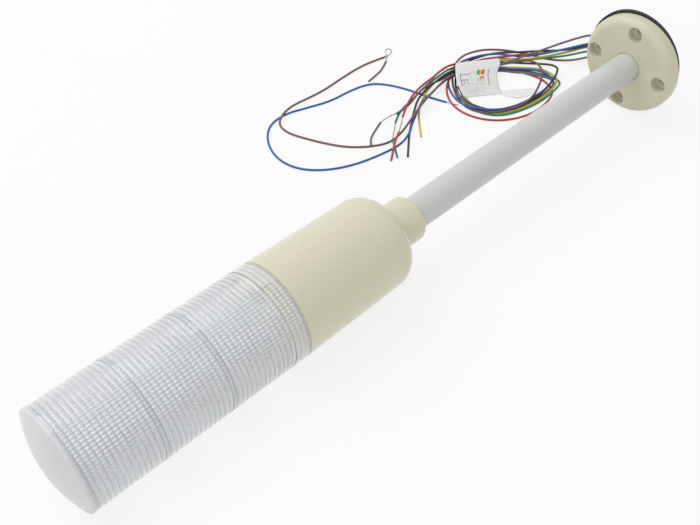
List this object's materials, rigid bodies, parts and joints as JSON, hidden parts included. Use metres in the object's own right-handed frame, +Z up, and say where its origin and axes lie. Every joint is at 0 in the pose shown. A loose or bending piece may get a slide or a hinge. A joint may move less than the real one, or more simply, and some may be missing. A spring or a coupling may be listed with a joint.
{
  "type": "three-tier signal tower light",
  "caption": "Signal tower light with clear ribbed lens tiers over a moulded body, on a round pole with a round mounting flange and loose coiled leads, lying on its side.",
  "frame": {"origin": "centre of the mounting flange's underside, on the light's axis", "axes": "+X from the dome towards the mounting flange, along the lying light but level, so the light's own axis leans 0.63 degrees; +Z up from the surface that it lies on; +Y towards the side where its leads are coiled"},
  "size_m": [0.4991, 0.1973, 0.071],
  "materials": {
    "clear_lens": "clear polycarbonate, moulded ribs",
    "frosted_cap": "frosted translucent polycarbonate",
    "cream_housing": "moulded ABS, glossy",
    "grey_pole": "light grey painted tube, satin",
    "cream_flange": "moulded ABS, satin to glossy",
    "black_rubber": "matt rubber",
    "clear_seal": "translucent silicone",
    "steel": "zinc-plated steel",
    "white_board": "white solder-masked laminate",
    "green_board": "green solder-masked laminate",
    "led_epoxy": "clear epoxy",
    "white_reflector": "white moulded plastic",
    "green_terminal": "moulded polyamide",
    "black_component": "moulded epoxy and aluminium cans in sleeves",
    "insulation_grey": "PVC insulation",
    "insulation_blue": "PVC insulation",
    "insulation_red": "PVC insulation",
    "insulation_black": "PVC insulation",
    "insulation_yellow": "PVC insulation",
    "insulation_green": "PVC insulation",
    "insulation_brown": "PVC insulation",
    "tinned_copper": "twisted tinned copper strands",
    "label_paper": "white printed paper under clear laminate",
    "label_laminate": "clear laminate film"
  },
  "bodies": {
    "base": {"body_housing": "cream_housing", "neck_grub_screw": "steel", "lens_seal": "clear_seal", "pole": "grey_pole", "cable_bush": "black_rubber", "flange": "cream_flange", "flange_grub_screw": "steel", "gasket": "black_rubber", "chassis_plate": "white_reflector", "chassis_screws": "steel", "stem_tube": "steel", "led_board_lower": "white_board", "leds_lower": "led_epoxy", "reflector_lower": "white_reflector", "led_board_middle": "white_board", "leds_middle": "led_epoxy", "reflector_middle": "white_reflector", "divider_middle": "white_reflector", "led_board_upper": "white_board", "leds_upper": "led_epoxy", "reflector_upper": "white_reflector", "divider_upper": "white_reflector", "stem_nut_upper": "steel", "stem_nut_lower": "steel", "driver_board": "green_board", "terminal_block": "green_terminal", "driver_parts": "black_component", "inner_harness": "insulation_black", "lead_grey": "insulation_grey", "lead_blue": "insulation_blue", "lead_red": "insulation_red", "lead_black": "insulation_black", "lead_yellow": "insulation_yellow", "lead_green": "insulation_green", "lead_brown": "insulation_brown", "wire_coil": "insulation_grey", "wire_label": "label_paper", "label_film": "label_laminate", "tail_grey": "insulation_grey", "tail_blue": "insulation_blue", "tail_red": "insulation_red", "tail_black": "insulation_black", "tail_yellow": "insulation_yellow", "tail_green": "insulation_green", "tail_brown": "insulation_brown", "slug_grey": "insulation_grey", "slug_green": "insulation_green", "slug_red": "insulation_red", "slug_brown": "insulation_brown", "bare_strands": "tinned_copper"},
    "lens_stack": {"top_cap": "frosted_cap", "lens_lower": "clear_lens", "lens_middle": "clear_lens", "lens_upper": "clear_lens"}
  },
  "joints": [
    {"name": "lens_twist", "type": "hinge", "parent": "base", "child": "lens_stack", "pos_m": [0, 0, 0], "axis": [-0.9999, 0, -0.011], "range_deg": [0, 13]}
  ]
}
